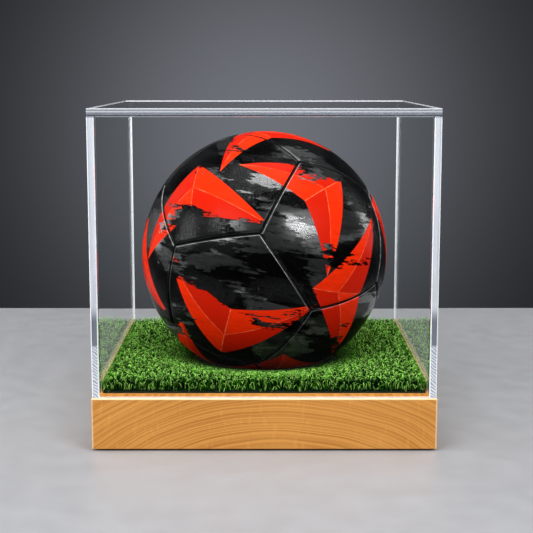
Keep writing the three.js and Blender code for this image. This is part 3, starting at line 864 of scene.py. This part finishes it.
first_panel = cut_panel()
pad(first_panel)
apply_modifier(first_panel, "SOLIDIFY", thickness=panel_thickness, offset=-1)
first_panel.data.shade_smooth()
choose(first_panel)
bpy.ops.object.shade_smooth_by_angle(angle=math.radians(50))
print("one panel:", faces_of(first_panel), "triangles")

# %% Twelve copies in their places
valve_name = max(ball_names, key=lambda name: directions[name].y)
valve_bore = 3.3 * MM
ball_skin_pieces = []
for name in ball_names:
    mesh = first_panel.data.copy()
    mesh.transform(Matrix.Translation(ball_centre) @ panel_turn(name).to_4x4())
    light_rim(mesh, panel_turn(name))
    piece = new_object(name.replace("panel", "skin"), mesh)
    mesh.name = piece.name
    if name == valve_name:
        bore(piece, 48, valve_bore, ball_centre + directions[name] * ball_radius,
             directions[name].to_track_quat("Z", "Y").to_euler())
    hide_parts(name)
    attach(piece, "ball")
    ball_skin_pieces.append(piece)
bpy.data.objects.remove(first_panel)
print("valve in", valve_name, "skin triangles:", sum(faces_of(piece) for piece in ball_skin_pieces))

# %% [markdown]
# ## Printed design of the ball
# The skin is black with grey dry-brush strokes and bright orange-red motifs. The motifs here are plain
# folded chevrons, a common sports pattern, set at many angles. Each is worked out from the direction of a
# point seen from the ball's centre, so it lies on the sphere without a map and runs over seams as print
# does. The strokes are stretched noise, cut off sharply, and they also eat into the ends of the chevrons.

# %% Group for dry-brush strokes
brush_group, source, sink = new_group("dry_brush", [("Vector", "Vector", None), ("Cover", "Float", 0.5)],
                                      ["Mask", "Streak"])
streak = noise(stretched(source["Vector"], (40, 40, 330)), 1.0, 4, 0.65)
ragged = noise(stretched(source["Vector"], (110, 110, 260), place=(3, 1, 2)), 1.0, 4, 0.7)
patch = noise(stretched(source["Vector"], (15, 15, 36), place=(1, 4, 2)), 1.0, 1)
total = multiply_add(streak, 0.30, multiply_add(ragged, 0.22, patch))
level = calculate("SUBTRACT", 1.16, multiply(source["Cover"], 0.8))
link(remap(total, level, calculate("ADD", level, 0.012)), sink["Mask"])
link(calculate("ADD", multiply(streak, 0.5), multiply(ragged, 0.5)),
     sink["Streak"])
print("group", brush_group.name)

# %% Group for one folded chevron
chevron_group, source, sink = new_group(
    "folded_chevron",
    [("Direction", "Vector", None), ("Middle", "Vector", None), ("Upward", "Vector", None),
     ("Fray", "Float", 0.0), ("Size", "Float", 1.0)], ["Mask", "Fold", "Ridge"])
sideward = vector_math("CROSS_PRODUCT", source["Middle"], source["Upward"])
ahead = vector_math("DOT_PRODUCT", source["Direction"], source["Middle"])
span = multiply(calculate("MAXIMUM", ahead, 0.05), source["Size"])
u = calculate("DIVIDE", vector_math("DOT_PRODUCT", source["Direction"], sideward), span)
v = calculate("DIVIDE", vector_math("DOT_PRODUCT", source["Direction"], source["Upward"]), span)
arm = calculate("ABSOLUTE", u)
height = multiply_add(arm, 0.62, v)
thick = multiply_add(arm, -0.34, 0.205)
centred = calculate("SUBTRACT", height, 0.10)
band = remap(calculate("SUBTRACT", thick, calculate("ABSOLUTE", centred)), 0.0, 0.006)
reach = multiply_add(source["Fray"], 0.5, 0.34)
ends = remap(calculate("SUBTRACT", reach, arm), 0.0, 0.008)
front = calculate("GREATER_THAN", ahead, 0.35)
mask = multiply(band, multiply(ends, front))
link(mask, sink["Mask"])
fold = multiply(calculate("SIGN", u), calculate("SIGN", centred))
link(multiply(mask, multiply_add(fold, 0.5, 0.5)), sink["Fold"])
crease = calculate("MINIMUM", arm, calculate("ABSOLUTE", centred))
link(multiply(mask, remap(crease, 0.0048, 0.0014)), sink["Ridge"])
print("group", chevron_group.name)

# %% Group for the fine leather grain
leather_group, source, sink = new_group("leather_grain", [("Vector", "Vector", None)], ["Height"])
cells = add_node("TexVoronoi", {"Vector": source["Vector"], "Scale": 1100.0}, feature="SMOOTH_F1")
crease = noise(source["Vector"], 420, 3)
link(multiply_add(crease, 0.6, cells.outputs["Distance"]), sink["Height"])
print("group", leather_group.name)

# %% Where the chevrons lie
# Each one's azimuth, elevation and turn in degrees, and its size.
chevrons = (
    (-40, 30, 20, 1.25), (28, 34, -65, 1.15), (-18, -24, 160, 1.30), (42, -12, 80, 1.25), (-84, 0, -20, 1.20),
    (90, 16, 60, 1.20), (-126, 24, 200, 1.25), (148, 4, 10, 1.20), (190, -26, 120, 1.10),
    (112, -38, 45, 1.10), (-142, -22, 80, 1.10), (0, 80, 30, 1.10), (12, -62, 0, 1.10),
    (-70, -50, 200, 1.00), (165, 48, -70, 1.20),
)


def chevron_axes(azimuth, elevation, turn):
    """The direction of the chevron's middle, and of its point, on the ball."""
    side, rise = math.radians(azimuth), math.radians(elevation)
    middle = Vector((math.sin(side) * math.cos(rise), -math.cos(side) * math.cos(rise), math.sin(rise)))
    upright = (Vector((0, 0, 1)) - middle * middle.z).normalized()
    return middle, Matrix.Rotation(math.radians(turn), 3, middle) @ upright


# %% Ball skin
skin, shader = new_material("ball_skin", Specular_IOR_Level=0.03, Coat_Roughness=0.22, Coat_IOR=1.8)
from_centre = vector_math("SUBTRACT", place_of(), tuple(ball_centre))
direction = vector_math("NORMALIZE", from_centre)
tilted = stretched(from_centre, turn=(0.10, -0.16, 0))
grey = use_group(brush_group, Vector=tilted, Cover=0.46)
dark = use_group(brush_group, Vector=stretched(tilted, place=(0.31, 0.12, 0.07)), Cover=0.38)
second = use_group(brush_group, Vector=stretched(tilted, place=(0.17, 0.45, 0.23)), Cover=0.50)
mask, fold, ridge = 0.0, 0.0, 0.0
for azimuth, elevation, turn, size in chevrons:
    middle, upward = chevron_axes(azimuth, elevation, turn)
    made = use_group(chevron_group, Direction=direction, Middle=middle, Upward=upward, Fray=grey["Streak"],
                     Size=size)
    mask = calculate("MAXIMUM", made["Mask"], mask)
    fold = calculate("MAXIMUM", made["Fold"], fold)
    ridge = calculate("MAXIMUM", made["Ridge"], ridge)
seam = attribute("seam")
upper_rim = attribute("upper_rim")
worn = multiply(mask, calculate("SUBTRACT", 1.0, dark["Mask"]))
thin_paint = blend_colour(remap(grey["Streak"], 0.40, 0.60), (0.0045, 0.0045, 0.0045),
                          (0.013, 0.0128, 0.0126))
full_paint = blend_colour(remap(grey["Streak"], 0.40, 0.60), (0.018, 0.0178, 0.0175), (0.040, 0.0392, 0.0384))
smear = blend_colour(second["Mask"], thin_paint, full_paint)
black = blend_colour(second["Mask"], (0.0003, 0.0003, 0.0003), (0.0026, 0.0026, 0.0026))
base = blend_colour(grey["Mask"], black, smear)
orange = blend_colour(fold, (0.86, 0.026, 0.001), (0.56, 0.011, 0.001))
orange = blend_colour(remap(dark["Streak"], 0.35, 0.65, 0, 0.4), orange, (0.54, 0.010, 0.001))
ridge = multiply(ridge, remap(grey["Streak"], 0.42, 0.58, 0.15, 0.8))
orange = blend_colour(ridge, orange, (0.92, 0.17, 0.07))
printed = blend_colour(worn, base, orange)
# Painted highlight: a pale seam line on rims that face upwards, fading towards the ball's bottom.
rim_line = multiply(remap(seam, 0.20, 0.29), remap(seam, 0.45, 0.36))
rise = height_of(from_centre)
rim_highlight_fade = multiply(remap(grey["Streak"], 0.42, 0.58, 0.35, 1),
                 remap(rise, -70 * MM, 20 * MM, 0.08, 1))
rim_line = multiply(rim_line, rim_highlight_fade)
rim_highlighted = blend_colour(multiply(rim_line, upper_rim), printed, (0.40, 0.395, 0.39))
# Painted shade: the bottom of each seam groove is painted near black.
groove_shaded = blend_colour(remap(seam, 0.36, 0.50), rim_highlighted, (0.0006, 0.0006, 0.0006))
height = use_group(leather_group, Vector=from_centre)["Height"]
unprinted = multiply(calculate("SUBTRACT", 1.0, worn), remap(height, 0.2, 0.6, 0.75, 1.05))
layers = multiply_add(grey["Mask"], multiply_add(second["Mask"], 0.65, 0.25),
                      multiply(second["Mask"], 0.06))
shine = multiply(multiply_add(unprinted, layers, 0.006),
                 remap(seam, 0.04, 0.26, 1, 0.3))
feed(shader, Base_Color=groove_shaded, Coat_Weight=shine,
     Roughness=multiply_add(grey["Mask"], 0.08, remap(height, 0.2, 0.9, 0.22, 0.32)),
     Normal=bump(height, 0.05 * MM, 0.5))
dress(skin, *ball_skin_pieces)
print("chevrons:", len(chevrons))

# %% Lining, bladder and valve
lining, shader = new_material("ball_lining", Specular_IOR_Level=0.2)
place = place_of()
threads = [add_node("TexWave", {"Vector": place, "Scale": 420.0}, bands_direction=axis).outputs["Fac"]
           for axis in ("X", "Z")]
weave = multiply(*threads)
feed(shader, Base_Color=blend_colour(weave, (0.42, 0.39, 0.33), (0.66, 0.63, 0.56)),
     Roughness=remap(weave, 0, 1, 0.95, 0.85), Normal=bump(weave, 0.1 * MM, 0.5))
dress(lining, "ball_lining")

latex, shader = new_material("ball_bladder", Specular_IOR_Level=0.5)
marks = use_group(mark_group, Vector=place_of(), Size=1.5)
feed(shader, Base_Color=blend_colour(marks["Smudge"], (0.030, 0.024, 0.023), (0.055, 0.045, 0.042)),
     Roughness=remap(marks["Smudge"], 0, 1, 0.42, 0.6))
dress(latex, "ball_bladder")

valve, shader = new_material("ball_valve", Specular_IOR_Level=0.45)
pits = noise(place_of(), 2400, 2)
feed(shader, Base_Color=blend_colour(pits, (0.012, 0.012, 0.013), (0.035, 0.034, 0.034)),
     Roughness=remap(pits, 0.3, 0.7, 0.5, 0.7), Normal=bump(pits, 0.02 * MM, 0.5))
dress(valve, "ball_valve")
print("inner parts dressed")

# %% [markdown]
# ## Clear cover
# The cover is five sheets of clear acrylic, six millimetres thick, bonded at their edges. The faces are as
# clear as glass, and the sawn and polished edges look white, because they collect light that travels inside
# the sheet; here that light is a painted glow in the colour of the edges, with painted highlights on the
# bevels and painted shade in places. Each sheet is a box with its arrises bevelled. The wide faces, the
# narrow edges, the bevels and the sawn lower ends are four materials, given by face, as a maker would finish
# them in four steps.

# %% Clear faces, polished edges and bright arrises
def let_lamps_through(shader):
    """Shadow rays and diffuse rays pass straight through the sheet, so that what it covers is lit."""
    path = add_node("LightPath").outputs
    clear = add_node("BsdfTransparent", {"Color": (0.97, 0.985, 0.985, 1)}).outputs[0]
    inner = add_node("MixShader", {0: path["Is Diffuse Ray"], 1: shader.outputs[0], 2: clear}).outputs[0]
    outer = add_node("MixShader", {0: path["Is Shadow Ray"], 1: inner, 2: clear}).outputs[0]
    link(outer, Editor.tree.nodes["Material Output"].inputs["Surface"])


clear_face, shader = new_material("acrylic_face", Transmission_Weight=1.0, IOR=1.49, Metallic=0.0,
                                  Specular_Tint=(0.05, 0.052, 0.055, 1))
marks = use_group(mark_group, Vector=place_of(), Size=1.0)
feed(shader, Base_Color=blend_colour(marks["Smudge"], (0.985, 0.995, 0.995), (0.965, 0.98, 0.985)),
     Roughness=multiply_add(marks["Dust"], 0.05, multiply(marks["Smudge"], 0.012)))
let_lamps_through(shader)

polished_edge, shader = new_material("acrylic_edge", Transmission_Weight=0.40, IOR=1.49, Metallic=0.0)
marks = use_group(mark_group, Vector=place_of(), Size=2.0)
edge_glow_streaks = noise(stretched(place_of(), (700, 700, 24)), 1.0, 3)
rise = height_of(place_of())
slant_hatch_settings = {"Vector": stretched(place_of(), turn=(0, 0.9, 0)), "Scale": 150.0, "Distortion": 4.0, "Detail": 3.0,
        "Detail Scale": 1.6}
slanted = add_node("TexWave", slant_hatch_settings).outputs["Fac"]
streaks_start, streaks_full = 88 * MM, 85.5 * MM
shade_start, shade_full = 122 * MM, 106 * MM
head_start, head_full = 269.0 * MM, 269.6 * MM
# Painted shade darkens the edge from 122 mm down and above 269 mm; below 88 mm a painted hatch takes over.
low_share = remap(rise, streaks_start, streaks_full)
dark_share = calculate("MAXIMUM", remap(rise, shade_start, shade_full, 0, 0.85),
                       remap(rise, head_start, head_full, 0, 0.75))
# Painted glow: the near white edge colour stands in for light carried inside the sheet.
edge_glow = blend_colour(edge_glow_streaks, (0.50, 0.56, 0.68), (0.95, 0.97, 1.0))
edge_glow = blend_colour(dark_share, edge_glow, (0.075, 0.085, 0.115))
streaked = blend_colour(remap(slanted, 0.25, 0.75), (0.36, 0.44, 0.58), (0.95, 0.97, 1.0))
feed(shader, Base_Color=blend_colour(low_share, edge_glow, streaked),
     Roughness=remap(marks["Smudge"], 0, 1, 0.10, 0.25))
let_lamps_through(shader)

bright_arris, shader = new_material("acrylic_arris", Transmission_Weight=0.10, IOR=1.49, Metallic=0.0)
chatter_and_glint = noise(place_of(), 260, 2)
rise = height_of(place_of())
# Painted highlight: the arris colour is near white in place of the light it catches; greyer from 268 mm up.
white = blend_colour(chatter_and_glint, (0.92, 0.95, 1.0), (1.0, 1.0, 1.0))
upper = blend_colour(remap(rise, 268 * MM, 271 * MM), white, (0.50, 0.52, 0.55))
joint = multiply(remap(rise, 270.0 * MM, 270.4 * MM), remap(rise, 271.7 * MM, 271.2 * MM))
feed(shader, Base_Color=blend_colour(joint, upper, (0.05, 0.055, 0.065)),
     Roughness=remap(chatter_and_glint, 0.3, 0.7, 0.25, 0.4))
let_lamps_through(shader)

sanded_foot, shader = new_material("acrylic_foot", Transmission_Weight=0.85, IOR=1.49)
grit = noise(place_of(), 700, 3)
feed(shader, Base_Color=blend_colour(grit, (0.80, 0.83, 0.86), (0.95, 0.97, 1.0)),
     Roughness=remap(grit, 0.3, 0.7, 0.30, 0.45))
let_lamps_through(shader)
print("acrylic materials ready")

# %% Five sheets
arris_width = 0.8 * MM
rim_width = 1.3 * MM
rim_depth = 0.5 * MM
bright_bands = (1.0 * MM, 1.9 * MM, 3.2 * MM)


def pick_faces(piece, rule):
    choose(piece)
    bpy.ops.object.mode_set(mode="EDIT")
    bpy.ops.mesh.select_mode(type="FACE")
    bpy.ops.mesh.select_all(action="DESELECT")
    leave_edit()
    for face in piece.data.polygons:
        face.select = rule(face)
    bpy.ops.object.mode_set(mode="EDIT")


def sink_top(sheet, top_z):
    """Sinks the top face and gives its rim a painted highlight, where the polished arris catches light."""
    pick_faces(sheet, lambda face: face.normal.z > 0.9 and face.area > 0.01)
    bpy.ops.mesh.inset(thickness=rim_width - arris_width)
    bpy.ops.transform.translate(value=(0, 0, -rim_depth))
    leave_edit()
    for face in sheet.data.polygons:
        if 0.05 < face.normal.z < 0.9 and abs(face.center.z - top_z + rim_depth / 2) < 0.1 * MM:
            face.material_index = 2


def band_front(sheet, top_z):
    """Paints highlight and shade bands on the top sheet's front edge, for the lines that show inside it."""
    for drop in bright_bands:
        edit(sheet)
        bpy.ops.mesh.bisect(plane_co=(0, 0, top_z - drop), plane_no=(0, 0, 1))
        leave_edit()
    for face in sheet.data.polygons:
        if abs(face.normal.z) < 0.1:
            drop = top_z - face.center.z
            bright = drop < bright_bands[0] or bright_bands[1] < drop < bright_bands[2]
            face.material_index = 2 if bright else 1


def cut_sheet(node):
    low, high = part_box(node)
    clear_selection()
    bpy.ops.mesh.primitive_cube_add(size=1, location=(low + high) / 2, scale=high - low)
    sheet = bpy.context.object
    settle(sheet, node.replace("cover", "sheet"))
    for material in (clear_face, polished_edge, bright_arris, sanded_foot):
        sheet.data.materials.append(material)
    thin = min(range(3), key=lambda axis: (high - low)[axis])
    for face in sheet.data.polygons:
        face.material_index = 0 if abs(face.normal[thin]) > 0.5 else 1
    apply_modifier(sheet, "BEVEL", width=arris_width, segments=2, material=2)
    if node == "cover_top":
        sink_top(sheet, high.z)
        band_front(sheet, high.z)
    for face in sheet.data.polygons:
        if node != "cover_top" and face.center.z > high.z - arris_width:
            face.material_index = 1
        if node == "cover_front" and abs(face.center.x) > high.x - arris_width:
            face.material_index = 0
        if node != "cover_top" and face.center.z < low.z + arris_width:
            face.material_index = 3
    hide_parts(node)
    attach(sheet, "cover")
    return sheet


sheets = [cut_sheet(f"cover_{side}") for side in ("front", "back", "left", "right", "top")]
print("sheets:", [sheet.name for sheet in sheets])
